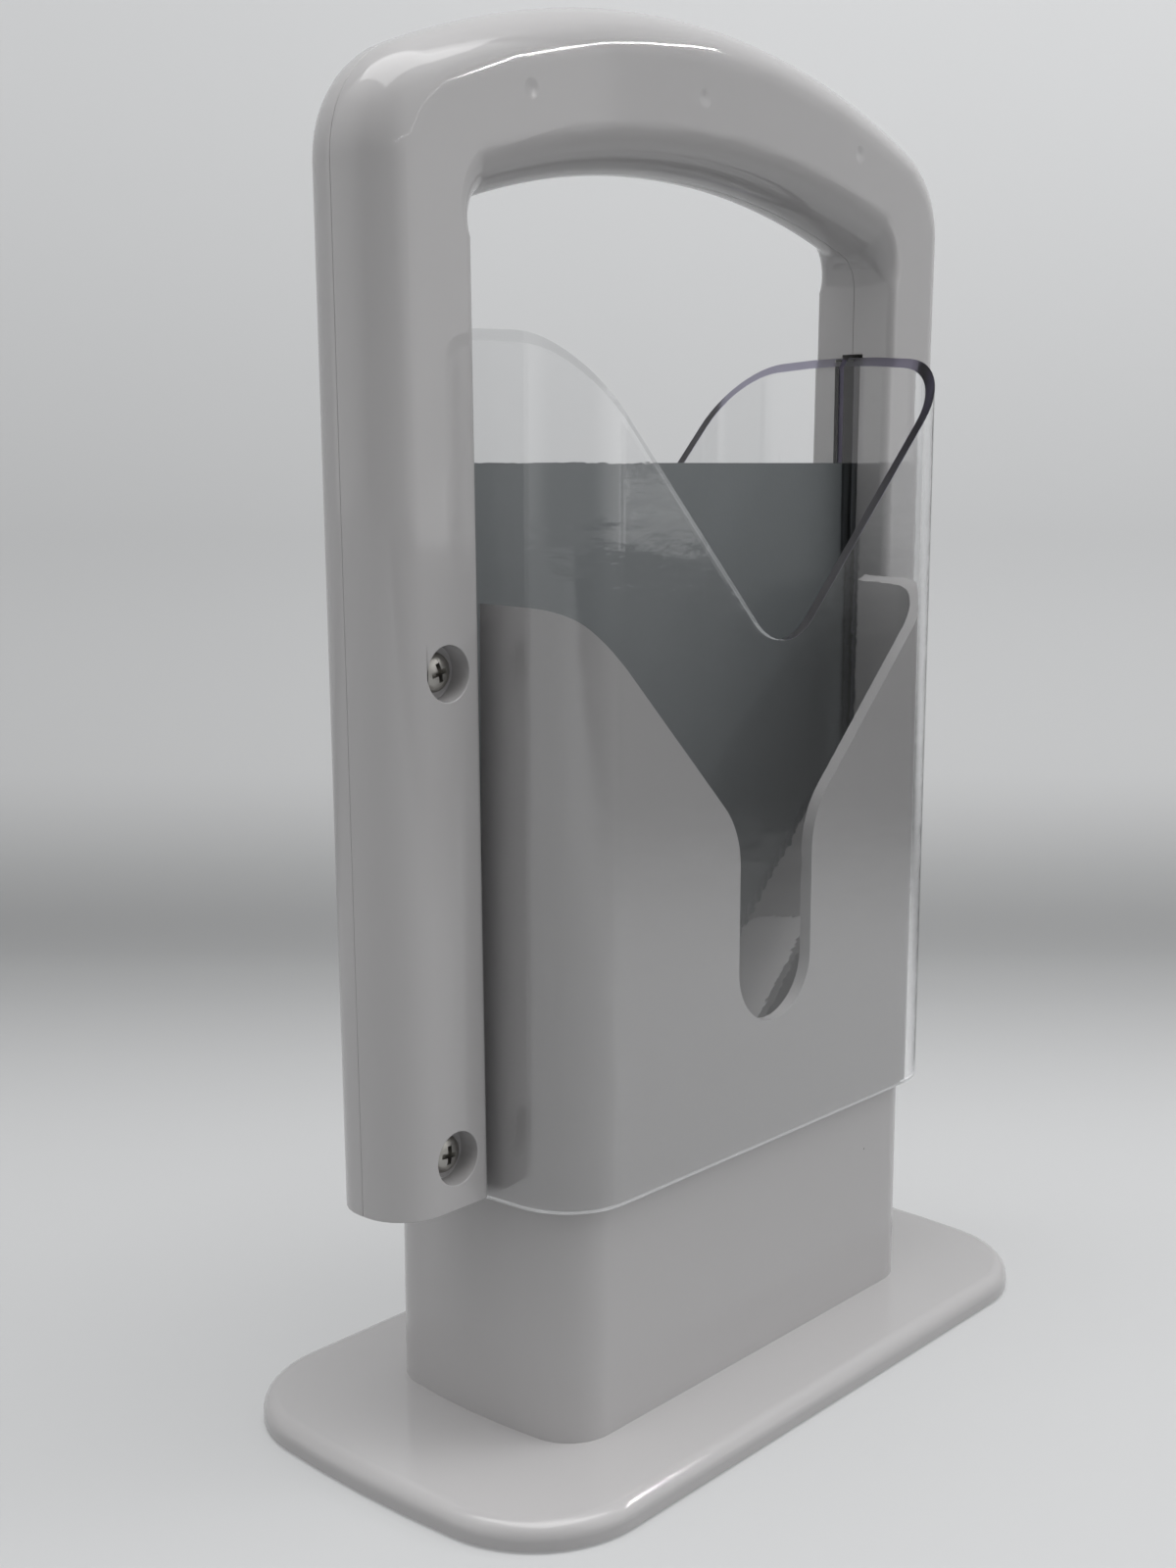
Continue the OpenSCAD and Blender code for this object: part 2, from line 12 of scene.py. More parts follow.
import bpy
import bmesh
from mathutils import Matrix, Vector


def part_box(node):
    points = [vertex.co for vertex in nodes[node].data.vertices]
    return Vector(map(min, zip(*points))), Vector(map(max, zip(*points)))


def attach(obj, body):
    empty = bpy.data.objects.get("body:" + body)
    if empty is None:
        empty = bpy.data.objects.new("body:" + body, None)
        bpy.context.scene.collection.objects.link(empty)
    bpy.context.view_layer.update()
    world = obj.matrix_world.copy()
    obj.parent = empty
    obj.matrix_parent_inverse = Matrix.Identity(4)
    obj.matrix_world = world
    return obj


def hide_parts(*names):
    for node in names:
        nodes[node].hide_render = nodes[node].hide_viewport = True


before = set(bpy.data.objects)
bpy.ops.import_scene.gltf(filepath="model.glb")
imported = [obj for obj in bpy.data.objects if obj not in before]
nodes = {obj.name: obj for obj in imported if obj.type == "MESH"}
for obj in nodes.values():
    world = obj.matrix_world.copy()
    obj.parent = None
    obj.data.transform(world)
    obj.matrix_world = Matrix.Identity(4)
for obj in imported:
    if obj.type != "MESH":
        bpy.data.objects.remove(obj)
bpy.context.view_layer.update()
scene = bpy.context.scene

# %% [markdown]
# ## The camera
#
# The photograph looks down on the left end and the front. A camera was fitted to the outlines of the foot
# plate, the pedestal and the handle: it stands 192 mm above the table and looks 9.5 degrees down. A lens is
# described in Blender by its focal length on a sensor 36 mm high.

# %% Camera
CAM_PLACE = Vector((-0.30866, -0.25407, 0.19183))
CAM_YAW = math.radians(48.16)
CAM_PITCH = math.radians(9.52)
FOCAL_PX, IMAGE_H = 1951.6, 1600
SENSOR_MM = 36.0

cam_data = bpy.data.cameras.new("photo_camera")
cam_data.sensor_fit = "VERTICAL"
cam_data.sensor_height = SENSOR_MM
cam_data.lens = FOCAL_PX / IMAGE_H * SENSOR_MM
cam_data.clip_start = 0.01
camera = bpy.data.objects.new("photo_camera", cam_data)
scene.collection.objects.link(camera)
ahead = Vector((math.sin(CAM_YAW), math.cos(CAM_YAW), 0.0))
across = Vector((ahead.y, -ahead.x, 0.0))
look = ahead * math.cos(CAM_PITCH) - Vector((0.0, 0.0, math.sin(CAM_PITCH)))
camera.location = CAM_PLACE
camera.rotation_euler = look.to_track_quat("-Z", "Y").to_euler()
scene.camera = camera
print("camera lens", round(cam_data.lens, 2), "mm")

# %% [markdown]
# ## Building with nodes
#
# Every material is built from nodes. Each line of a node tree says the same things: which node, what feeds
# it, and which numbers it holds. A few helpers keep that short. `put` sets a socket, or links it where it
# is given another node's socket, and the helpers below it each stand for one kind of node that the finishes
# use often.

# %% Helpers for node trees
def put(node, values):
    for key, value in values.items():
        if isinstance(value, bpy.types.NodeSocket):
            node.id_data.links.new(value, node.inputs[key])
        else:
            node.inputs[key].default_value = value


def add(tree, kind, values=None, **settings):
    node = tree.nodes.new(kind)
    for key, value in settings.items():
        setattr(node, key, value)
    put(node, values or {})
    return node


def new_material(name):
    mat = bpy.data.materials.new(name)
    mat.use_nodes = True
    tree = mat.node_tree
    tree.nodes.clear()
    out = tree.nodes.new("ShaderNodeOutputMaterial")
    bsdf = tree.nodes.new("ShaderNodeBsdfPrincipled")
    put(out, {"Surface": bsdf.outputs["BSDF"]})
    return mat, tree, bsdf, out


def new_group(name, inputs, outputs):
    group = bpy.data.node_groups.new(name, "ShaderNodeTree")
    for label, kind, default in inputs:
        socket = group.interface.new_socket(label, in_out="INPUT", socket_type=kind)
        if default is not None:
            socket.default_value = default
    for label, kind in outputs:
        group.interface.new_socket(label, in_out="OUTPUT", socket_type=kind)
    return group, group.nodes.new("NodeGroupInput"), group.nodes.new("NodeGroupOutput")


# %% One helper for each kind of node that is used often
# A Mix node holds the sockets of all its data types side by side: share, first, second, and the result.
MIX_COLOURS, MIXED_COLOUR = (0, 6, 7), 2
MIX_VALUES, MIXED_VALUE = (0, 2, 3), 0


def calc(tree, operation, *values):
    return add(tree, "ShaderNodeMath", dict(enumerate(values)), operation=operation).outputs[0]


def mix_colours(tree, share, first, second):
    node = add(tree, "ShaderNodeMix", data_type="RGBA")
    put(node, dict(zip(MIX_COLOURS, (share, first, second))))
    return node.outputs[MIXED_COLOUR]


def mix_values(tree, share, first, second):
    node = add(tree, "ShaderNodeMix", dict(zip(MIX_VALUES, (share, first, second))))
    return node.outputs[MIXED_VALUE]


def remap(tree, value, given, wanted, smooth=False):
    node = add(tree, "ShaderNodeMapRange", interpolation_type="SMOOTHSTEP" if smooth else "LINEAR")
    put(node, {"Value": value, "From Min": given[0], "From Max": given[1]})
    put(node, {"To Min": wanted[0], "To Max": wanted[1]})
    return node.outputs["Result"]


def object_place(tree):
    return add(tree, "ShaderNodeTexCoord").outputs["Object"]


def noise(tree, place, scale, detail, roughness=0.5):
    values = {"Vector": place, "Scale": scale, "Detail": detail, "Roughness": roughness}
    return add(tree, "ShaderNodeTexNoise", values).outputs["Fac"]


def bump(tree, height, strength, distance):
    values = {"Strength": strength, "Distance": distance, "Height": height}
    return add(tree, "ShaderNodeBump", values).outputs["Normal"]


def along(tree, place, direction):
    values = {0: place, 1: direction}
    return add(tree, "ShaderNodeVectorMath", values, operation="DOT_PRODUCT").outputs["Value"]


# %% [markdown]
# ## Shared material parts
#
# A group is a small effect that several materials place with their own values. `moulded_skin` is the skin
# of a glossy moulding: a very low swell, as of a polished mould, and faint cloudy differences in gloss.
# `fine_specks` are the few dark grains that recycled or handled plastic shows.

# %% The skin of a moulding
skin, skin_in, skin_out = new_group(
    "moulded_skin",
    [("Swell", "NodeSocketFloat", 0.04), ("Swell scale", "NodeSocketFloat", 60.0),
     ("Roughness", "NodeSocketFloat", 0.2), ("Cloud", "NodeSocketFloat", 0.03)],
    [("Normal", "NodeSocketVector"), ("Roughness", "NodeSocketFloat")])
SWELL_H, CLOUD_SCALE = 0.0005, 28.0
place = object_place(skin)
swell = noise(skin, place, skin_in.outputs["Swell scale"], 2.0, 0.4)
cloud = calc(skin, "ADD", noise(skin, place, CLOUD_SCALE, 4.0, 0.55), -0.5)
put(skin_out, {
    "Normal": bump(skin, swell, skin_in.outputs["Swell"], SWELL_H),
    "Roughness": calc(skin, "MULTIPLY_ADD", cloud, skin_in.outputs["Cloud"], skin_in.outputs["Roughness"])})
print("group", skin.name)

# %% Dark specks
specks, specks_in, specks_out = new_group(
    "fine_specks",
    [("Color", "NodeSocketColor", (0.8, 0.8, 0.8, 1.0)), ("Scale", "NodeSocketFloat", 55.0),
     ("Size", "NodeSocketFloat", 0.012)],
    [("Color", "NodeSocketColor")])
SPECK_COLOUR = (0.06, 0.055, 0.05, 1.0)
cells = add(specks, "ShaderNodeTexVoronoi", {
    "Vector": object_place(specks), "Scale": specks_in.outputs["Scale"], "Randomness": 1.0})
on_speck = calc(specks, "LESS_THAN", cells.outputs["Distance"], specks_in.outputs["Size"])
put(specks_out, {"Color": mix_colours(specks, on_speck, specks_in.outputs["Color"], SPECK_COLOUR)})
print("group", specks.name)

# %% [markdown]
# ## White plastic
#
# The mouldings are glossy ABS in a pale cool grey-white. Gloss on plastic is a mirror-like layer over a
# matt colour, which the Principled shader gives with a low roughness. A perfect mirror would look like
# glass, so the skin group breaks it with a swell of a few hundredths of a millimetre and with slight clouds
# in the roughness.

# %% White plastic
WHITE = (0.520, 0.511, 0.514, 1.0)
ABS_IOR = 1.53


def white_plastic(name, roughness, swell, speck_size):
    mat, tree, bsdf, _ = new_material(name)
    moulded = add(tree, "ShaderNodeGroup", node_tree=skin)
    put(moulded, {"Swell": swell, "Roughness": roughness})
    grains = add(tree, "ShaderNodeGroup", node_tree=specks)
    put(grains, {"Color": WHITE, "Size": speck_size})
    put(bsdf, {"Normal": moulded.outputs["Normal"], "Roughness": moulded.outputs["Roughness"],
               "Base Color": grains.outputs["Color"], "IOR": ABS_IOR})
    print("material", name)
    return mat


handle_plastic = white_plastic("handle_plastic", 0.065, 0.05, 0.0)
holder_plastic = white_plastic("holder_plastic", 0.15, 0.10, 0.010)
plate_plastic = white_plastic("plate_plastic", 0.12, 0.08, 0.006)

# %% [markdown]
# ## Sink marks
#
# Where a peg or a rib stands behind a moulded wall, the thicker plastic shrinks as it cools and draws the
# face in by about a tenth of a millimetre. The arch's front shows three such marks, towards its two ends and
# in its middle. They are too shallow for the mesh, so the distance from the nearest mark's centre feeds a
# bump that joins the skin's.

# %% Sink marks on the arch
SINK_MARKS = ((-0.0515, -0.0106, 0.2573), (-0.0023, -0.0106, 0.2622), (0.0517, -0.0106, 0.2577))
SINK_REACH, SINK_DEPTH = 0.0021, 0.00022
tree = handle_plastic.node_tree
bsdf = tree.nodes["Principled BSDF"]
place = object_place(tree)
nearest = None
for mark in SINK_MARKS:
    away = add(tree, "ShaderNodeVectorMath", {0: place, 1: mark}, operation="DISTANCE").outputs["Value"]
    nearest = away if nearest is None else calc(tree, "MINIMUM", nearest, away)
dish = remap(tree, nearest, (0.0, SINK_REACH), (0.0, 1.0), smooth=True)
sink = add(tree, "ShaderNodeBump", {"Strength": 1.0, "Distance": SINK_DEPTH, "Height": dish})
put(sink, {"Normal": bsdf.inputs["Normal"].links[0].from_socket})
put(bsdf, {"Normal": sink.outputs["Normal"]})
print("sink marks on the handle:", len(SINK_MARKS))

# %% [markdown]
# ## Clear plastic
#
# The guards are clear acrylic-like sheets. Looked at square on they almost vanish. Their cut edges are
# painted: on the right a dark blue and violet transmitted colour is painted shade, standing in for the dark
# room the edges refract, and on the left a pale emission is a painted glow, standing in for light piped along
# the sheet. Faces on an edge carry an attribute, `edge` or `painted_glow_edge`, and the colour of the
# transmitted or of the emitted light is mixed by it. Fine upright streaks in the roughness and a low ripple
# keep the sheet from looking like perfect glass.
#
# Ray-traced shadows of clear plastic would be black without caustics, so a Light Path node lets shadow rays
# pass almost untouched, and the diffuse rays that gather light behind it too.

# %% Clear plastic: colour, streaks and ripple
ACRYLIC_IOR = 1.49
# Painted shade: the dark blue-violet transmitted colour of the right-hand edges stands in for the dark room
# they refract.
CLEAR, PAINTED_EDGE_SHADE = (0.945, 0.947, 0.95, 1.0), (0.20, 0.18, 0.30, 1.0)
clear_plastic, tree, bsdf, out = new_material("clear_plastic")
shaded_edge_mark = add(tree, "ShaderNodeAttribute", attribute_name="edge").outputs["Fac"]
painted_glow_mark = add(tree, "ShaderNodeAttribute", attribute_name="painted_glow_edge").outputs["Fac"]
place = object_place(tree)
upright = add(tree, "ShaderNodeMapping", {"Vector": place, "Scale": (1.0, 1.0, 0.06)}).outputs["Vector"]
haze = remap(tree, noise(tree, upright, 420.0, 3.0), (0.45, 0.85), (0.015, 0.10))
on_shaded_edge = calc(tree, "GREATER_THAN", shaded_edge_mark, 0.1)
flatter = add(tree, "ShaderNodeMapping", {"Vector": place, "Scale": (1.0, 1.0, 2.4)}).outputs["Vector"]
put(bsdf, {
    "Transmission Weight": 1.0, "IOR": ACRYLIC_IOR,
    "Base Color": mix_colours(tree, shaded_edge_mark, CLEAR, PAINTED_EDGE_SHADE),
    "Roughness": mix_values(tree, on_shaded_edge, haze, 0.30),
    "Normal": bump(tree, noise(tree, flatter, 90.0, 3.0), 0.10, 0.0005)})
print("clear plastic, index", ACRYLIC_IOR)

# %% Clear plastic: painted glow in the edges, and light that passes
# Painted glow: the marked edge faces emit this pale grey, though the guard is no lamp.
BLACK, PAINTED_EDGE_GLOW = (0.0, 0.0, 0.0, 1.0), (0.50, 0.51, 0.52, 1.0)
PASSED = (0.84, 0.84, 0.84, 1.0)
put(bsdf, {"Emission Color": mix_colours(tree, painted_glow_mark, BLACK, PAINTED_EDGE_GLOW), "Emission Strength": 1.0})
rays = add(tree, "ShaderNodeLightPath")
passing = calc(tree, "MAXIMUM", rays.outputs["Is Shadow Ray"], rays.outputs["Is Diffuse Ray"])
# On the glowing edges most of a camera ray also passes, so the painted glow stays a faint pale line.
passing = calc(tree, "MAXIMUM", passing, calc(tree, "MULTIPLY", painted_glow_mark, 0.8))
see_through = add(tree, "ShaderNodeBsdfTransparent", {"Color": PASSED})
let_by = add(tree, "ShaderNodeMixShader", {0: passing})
put(let_by, {1: bsdf.outputs["BSDF"], 2: see_through.outputs["BSDF"]})
put(out, {"Surface": let_by.outputs["Shader"]})
print("material", clear_plastic.name)

# %% [markdown]
# ## Coated blade, steel and rubber
#
# The blade has a thin dark non-stick coating: satin, with a grain like fine leather that breaks the
# highlight into sparkles, and with slow clouds in its colour and its gloss. The screws are bare steel with
# a fine drawn grain, and the feet are matt dark rubber.

# %% Coated blade
COAT_DARK, COAT_PALE = (0.150, 0.165, 0.172, 1.0), (0.190, 0.205, 0.212, 1.0)
blade_coat, tree, bsdf, _ = new_material("blade_coat")
place = object_place(tree)
cloud = noise(tree, place, 22.0, 5.0)
put(bsdf, {
    "Normal": bump(tree, noise(tree, place, 1500.0, 2.0, 0.6), 0.35, 0.00006),
    "Roughness": remap(tree, cloud, (0.3, 0.7), (0.34, 0.46)),
    "Base Color": mix_colours(tree, cloud, COAT_DARK, COAT_PALE), "Metallic": 0.05})
print("material", blade_coat.name)

# %% Screw steel and foot rubber
screw_steel, tree, bsdf, _ = new_material("screw_steel")
put(bsdf, {
    "Roughness": remap(tree, noise(tree, object_place(tree), 900.0, 3.0), (0.0, 1.0), (0.24, 0.48)),
    "Base Color": (0.36, 0.35, 0.33, 1.0), "Metallic": 1.0})
foot_rubber, tree, bsdf, _ = new_material("foot_rubber")
put(bsdf, {
    "Normal": bump(tree, noise(tree, object_place(tree), 700.0, 2.0), 0.3, 0.0001),
    "Base Color": (0.10, 0.10, 0.105, 1.0), "Roughness": 0.75})
print("materials", screw_steel.name, foot_rubber.name)

# %% [markdown]
# ## Mouldings with soft edges
#
# No moulded edge is sharp: the tool leaves a radius of a few tenths of a millimetre, and that radius
# catches the light as a thin bright line. The solids have sharp edges, so each visible one is copied, its
# loose triangles are merged into flat faces, and a Bevel modifier rounds what is sharper than an angle.
# Weighted normals then keep the large flat faces flat. Where a hole sits in a long face, level cuts above
# and below it keep its normals from pulling on the whole face.

# %% Copy a solid and soften its edges
MERGE_DIST = 2e-6
FLAT_ANGLE, SHARP_ANGLE = math.radians(0.5), math.radians(34.0)


def evaluated_mesh(obj):
    return bpy.data.meshes.new_from_object(obj.evaluated_get(bpy.context.evaluated_depsgraph_get()))


def soft_copy(node_name, piece_name, edge_round, segments=3, level_cuts=()):
    mesh = nodes[node_name].data.copy()
    if "custom_normal" in mesh.attributes:
        mesh.attributes.remove(mesh.attributes["custom_normal"])
    work = bmesh.new()
    work.from_mesh(mesh)
    bmesh.ops.remove_doubles(work, verts=work.verts, dist=MERGE_DIST)
    bmesh.ops.dissolve_limit(work, angle_limit=FLAT_ANGLE, verts=work.verts, edges=work.edges)
    for height in level_cuts:
        everything = work.verts[:] + work.edges[:] + work.faces[:]
        bmesh.ops.bisect_plane(work, geom=everything, plane_co=(0, 0, height), plane_no=(0, 0, 1))
    work.to_mesh(mesh)
    work.free()
    mesh.materials.clear()
    mesh.shade_smooth()
    piece = bpy.data.objects.new(piece_name, mesh)
    scene.collection.objects.link(piece)
    bevel = piece.modifiers.new("edge round", "BEVEL")
    bevel.width = edge_round
    bevel.segments = segments
    bevel.limit_method = "ANGLE"
    bevel.angle_limit = SHARP_ANGLE
    bevel.use_clamp_overlap = True
    done = evaluated_mesh(piece)
    piece.modifiers.clear()
    piece.data = done
    done.shade_smooth()
    done.set_sharp_from_angle(angle=SHARP_ANGLE)
    weigh = piece.modifiers.new("flat stays flat", "WEIGHTED_NORMAL")
    weigh.keep_sharp = True
    weigh.weight = 90
    print(piece_name, len(done.polygons), "faces")
    return piece


def stand_for(piece, body, material, slot_name, *names):
    piece.data.materials.clear()
    piece.data.materials.append(material)
    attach(piece, body)
    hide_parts(*names)


# %% The base: foot plate and holder
THIN_ROUND, HOLDER_ROUND = 0.0003, 0.0008
plate = soft_copy("foot_plate", "foot_plate_skin", THIN_ROUND)
stand_for(plate, "base", plate_plastic, "white_plastic", "foot_plate")
holder = soft_copy("holder_body", "holder_skin", HOLDER_ROUND)
stand_for(holder, "base", holder_plastic, "white_plastic", "holder_body")

# %% The handle's two halves
CUT_FROM_SCREW = 0.006
screw_boxes = [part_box(name) for name in nodes if name.startswith("handle_screw_")]
screw_heights = sorted({round((low[2] + high[2]) / 2, 4) for low, high in screw_boxes})
around_screws = [height + step for height in screw_heights for step in (-CUT_FROM_SCREW, CUT_FROM_SCREW)]
print("level cuts at", [round(height, 4) for height in around_screws])
for half in ("front", "rear"):
    shell = soft_copy("handle_" + half, f"handle_{half}_skin", THIN_ROUND, level_cuts=around_screws)
    stand_for(shell, "slicer", handle_plastic, "white_plastic", "handle_" + half)

# %% [markdown]
# ## Guards
#
# A guard's cut edges are found by direction: the big faces look sideways, so a face whose normal has a part
# along Z, or that closes a flange's end, is an edge. The mark is stored on the faces and read by the
# material. Edges that look up on the right, and the flanges' ends, get painted shade. The others get a
# painted glow, less of it below the blade's back.

# %% The two guards
BLADE_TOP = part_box("blade")[1][2]
EDGE_FACING, FLANGE_FACING, PARTING_REACH = 0.25, 0.9, 0.0008


def mark_edges(mesh):
    dark = mesh.attributes.new("edge", "FLOAT", "FACE")
    light = mesh.attributes.new("painted_glow_edge", "FLOAT", "FACE")
    count = 0
    for poly in mesh.polygons:
        centre, n = poly.center, poly.normal
        flange_end = abs(n.y) > FLANGE_FACING and abs(centre.y) < PARTING_REACH
        on_edge = abs(n.z) > EDGE_FACING or flange_end
        # Painted shade on the upward right-hand edges and the flanges' ends.
        gets_painted_shade = flange_end or (centre.x > 0 and n.z > EDGE_FACING)
        # Painted glow on the other edges, half as strong below the blade's back.
        glow = 1.0 if centre.z > BLADE_TOP else 0.5
        dark.data[poly.index].value = 1.0 if gets_painted_shade else 0.0
        light.data[poly.index].value = glow if on_edge and not gets_painted_shade else 0.0
        count += on_edge
    return count


for side in ("front", "rear"):
    guard = soft_copy(side + "_guard", f"{side}_guard_skin", THIN_ROUND, segments=2)
    print(side, "guard edge faces", mark_edges(guard.data))
    stand_for(guard, "slicer", clear_plastic, "clear_plastic", side + "_guard")

# %% [markdown]
# ## The blade, by rule
#
# The blade is a sheet that follows a few rules, so it is made by Geometry Nodes: a finely divided block
# whose columns are pushed to their height. Its lower edge rises at the same slope on both sides, and the
# scallops are the size of a sine with its negative halves folded up. The first row lies on the edge, the
# second at the top of the ground bevel, where the sheet reaches its full thickness.

# %% Helpers for geometry nodes
def geometry_tree(name, inputs):
    tree = bpy.data.node_groups.new(name, "GeometryNodeTree")
    tree.interface.new_socket("Geometry", in_out="OUTPUT", socket_type="NodeSocketGeometry")
    for label, kind in inputs:
        tree.interface.new_socket(label, in_out="INPUT", socket_type=kind)
    return tree, tree.nodes.new("NodeGroupInput").outputs, tree.nodes.new("NodeGroupOutput")


def close_tree(tree, geometry, material, result):
    real = add(tree, "GeometryNodeRealizeInstances", {0: geometry})
    paint = add(tree, "GeometryNodeSetMaterial", {"Geometry": real.outputs[0], "Material": material})
    put(result, {0: paint.outputs[0]})
    print("tree", tree.name, len(tree.nodes), "nodes")


def run_tree(tree, piece_name, values):
    piece = bpy.data.objects.new(piece_name, bpy.data.meshes.new(piece_name))
    scene.collection.objects.link(piece)
    run = piece.modifiers.new("rule", "NODES")
    run.node_group = tree
    for item in tree.interface.items_tree:
        if item.in_out == "INPUT" and item.name in values:
            run[item.identifier] = values[item.name]
    bpy.context.view_layer.update()
    made = evaluated_mesh(piece)
    piece.modifiers.clear()
    piece.data = made
    print(piece_name, len(made.polygons), "faces by", tree.name)
    return piece


# %% A sheet with a scalloped V edge
blade_tree, given, result = geometry_tree("scalloped_v_blade", [
    ("Columns", "NodeSocketInt"), ("Half length", "NodeSocketFloat"), ("Edge half length", "NodeSocketFloat"),
    ("Tip height", "NodeSocketFloat"), ("Back height", "NodeSocketFloat"), ("Slope", "NodeSocketFloat"),
    ("Scallop width", "NodeSocketFloat"), ("Scallop depth", "NodeSocketFloat"),
    ("Bevel height", "NodeSocketFloat"), ("Thickness", "NodeSocketFloat"), ("Edge share", "NodeSocketFloat"),
    ("Material", "NodeSocketMaterial")])
block = add(blade_tree, "GeometryNodeMeshCube", {
    "Size": (1.0, 1.0, 1.0), "Vertices X": given["Columns"], "Vertices Y": 2, "Vertices Z": 3})
position = add(blade_tree, "GeometryNodeInputPosition").outputs[0]
here = add(blade_tree, "ShaderNodeSeparateXYZ", {0: position}).outputs
print("blade inputs", [socket.name for socket in given if socket.name])

# %% The blade's lower edge and its ground bevel
x = calc(blade_tree, "MULTIPLY", here["X"], calc(blade_tree, "MULTIPLY", given["Half length"], 2.0))
on_edge = calc(blade_tree, "MINIMUM", calc(blade_tree, "ABSOLUTE", x), given["Edge half length"])
turns = calc(blade_tree, "DIVIDE", on_edge, given["Scallop width"])
wave = calc(blade_tree, "ABSOLUTE", calc(blade_tree, "SINE", calc(blade_tree, "MULTIPLY", turns, math.pi)))
low = calc(blade_tree, "MULTIPLY_ADD", on_edge, given["Slope"], given["Tip height"])
low = calc(blade_tree, "MULTIPLY_ADD", wave, given["Scallop depth"], low)
row = calc(blade_tree, "ADD", here["Z"], 0.5)
first = calc(blade_tree, "MINIMUM", calc(blade_tree, "MULTIPLY", row, 2.0), 1.0)
second = calc(blade_tree, "MAXIMUM", calc(blade_tree, "MULTIPLY_ADD", row, 2.0, -1.0), 0.0)
bevel_z = calc(blade_tree, "MULTIPLY_ADD", first, given["Bevel height"], low)
rest = calc(blade_tree, "SUBTRACT", given["Back height"], bevel_z)
z = calc(blade_tree, "MULTIPLY_ADD", second, rest, bevel_z)
print("height by", len(blade_tree.nodes), "nodes")

# %% The blade's thickness, and the whole sheet
growth = calc(blade_tree, "SUBTRACT", 1.0, given["Edge share"])
thick = calc(blade_tree, "MULTIPLY_ADD", first, growth, given["Edge share"])
thick = calc(blade_tree, "MULTIPLY", thick, given["Thickness"])
y = calc(blade_tree, "MULTIPLY", here["Y"], thick)
there = add(blade_tree, "ShaderNodeCombineXYZ", {"X": x, "Y": y, "Z": z}).outputs[0]
move = add(blade_tree, "GeometryNodeSetPosition", {"Geometry": block.outputs["Mesh"], "Position": there})
close_tree(blade_tree, move.outputs[0], given["Material"], result)

# %% Make the blade
SCALLOP_PITCH, SCALLOP_DEPTH, BEVEL_H, EDGE_SHARE = 0.0032, 0.0011, 0.0042, 0.2
COLUMNS_PER_SCALLOP = 8
low_corner, high_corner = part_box("blade")
edge_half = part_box("holder_body")[1][0]
scallops = round(edge_half * math.sqrt(2) / SCALLOP_PITCH)
scallop_w = edge_half / scallops
per_side = int(high_corner[0] / (scallop_w / COLUMNS_PER_SCALLOP))
print("scallops on each side", scallops, "each", round(scallop_w * 1000, 2), "mm wide from the front")
blade = run_tree(blade_tree, "blade_skin", {
    "Columns": 2 * per_side + 1, "Half length": per_side * scallop_w / COLUMNS_PER_SCALLOP,
    "Edge half length": edge_half, "Tip height": low_corner[2], "Back height": high_corner[2], "Slope": 1.0,
    "Scallop width": scallop_w, "Scallop depth": SCALLOP_DEPTH, "Bevel height": BEVEL_H,
    "Thickness": high_corner[1] - low_corner[1], "Edge share": EDGE_SHARE, "Material": blade_coat})
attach(blade, "slicer")
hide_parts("blade")

# %% [markdown]
# ## Screws
#
# All eight screws have the same head, a dome with a cross recess. The head is turned from a profile, the
# recess is cut by a tapered cross, and Geometry Nodes set copies of it on the places of the solid screws.

# %% Turning a profile, and a tapered cross
def turned(profile, steps=48):
    work = bmesh.new()
    ring = [work.verts.new((r, 0.0, z)) for r, z in profile]
    edges = [work.edges.new(pair) for pair in zip(ring, ring[1:])]
    bmesh.ops.spin(work, geom=ring + edges, cent=(0, 0, 0), axis=(0, 0, 1), angle=2 * math.pi, steps=steps)
    bmesh.ops.remove_doubles(work, verts=work.verts, dist=1e-7)
    bmesh.ops.recalc_face_normals(work, faces=work.faces)
    mesh = bpy.data.meshes.new("turned")
    work.to_mesh(mesh)
    work.free()
    return mesh


def cross_cutter(arm, width, depth, top_z):
    work = bmesh.new()
    for turn in (0.0, math.pi / 2):
        for v in bmesh.ops.create_cube(work, size=1.0)["verts"]:
            deep = v.co.z > 0
            shrink = 0.45 if deep else 1.0
            local = Vector((v.co.x * 2 * arm * shrink, v.co.y * width * (0.7 if deep else 1.0), 0.0))
            v.co.x = local.x * math.cos(turn) - local.y * math.sin(turn)
            v.co.y = local.x * math.sin(turn) + local.y * math.cos(turn)
            v.co.z = top_z + (depth if deep else -0.001)
    mesh = bpy.data.meshes.new("cross")
    work.to_mesh(mesh)
    work.free()
    return mesh


# %% One screw, its seat on z = 0 and its head below
HEAD_R, HEAD_H, SHANK_R, SCREW_L = 0.00365, 0.0024, 0.0016, 0.0135
RIM_H, DOME_STEPS, DOME_POWER = 0.0004, 12, 0.8
ARM_L, ARM_W, RECESS_D = 0.0024, 0.0011, 0.0016
dome = [(0.0, -HEAD_H)]
for i in range(1, DOME_STEPS + 1):
    a = math.radians(90.0 * i / DOME_STEPS)
    dome.append((HEAD_R * math.sin(a), -RIM_H - (HEAD_H - RIM_H) * math.cos(a) ** DOME_POWER))
dome += [(HEAD_R, 0.0), (SHANK_R, 0.0), (SHANK_R, SCREW_L * 0.82), (SHANK_R * 0.25, SCREW_L), (0.0, SCREW_L)]
screw_obj = bpy.data.objects.new("one_screw", turned(dome))
cutter = bpy.data.objects.new("cross_cutter", cross_cutter(ARM_L, ARM_W, RECESS_D, -HEAD_H))
for item in (screw_obj, cutter):
    scene.collection.objects.link(item)
cut = screw_obj.modifiers.new("cross", "BOOLEAN")
cut.operation = "DIFFERENCE"
cut.object = cutter
cut.solver = "EXACT"
cut.use_self = True
bpy.context.view_layer.update()
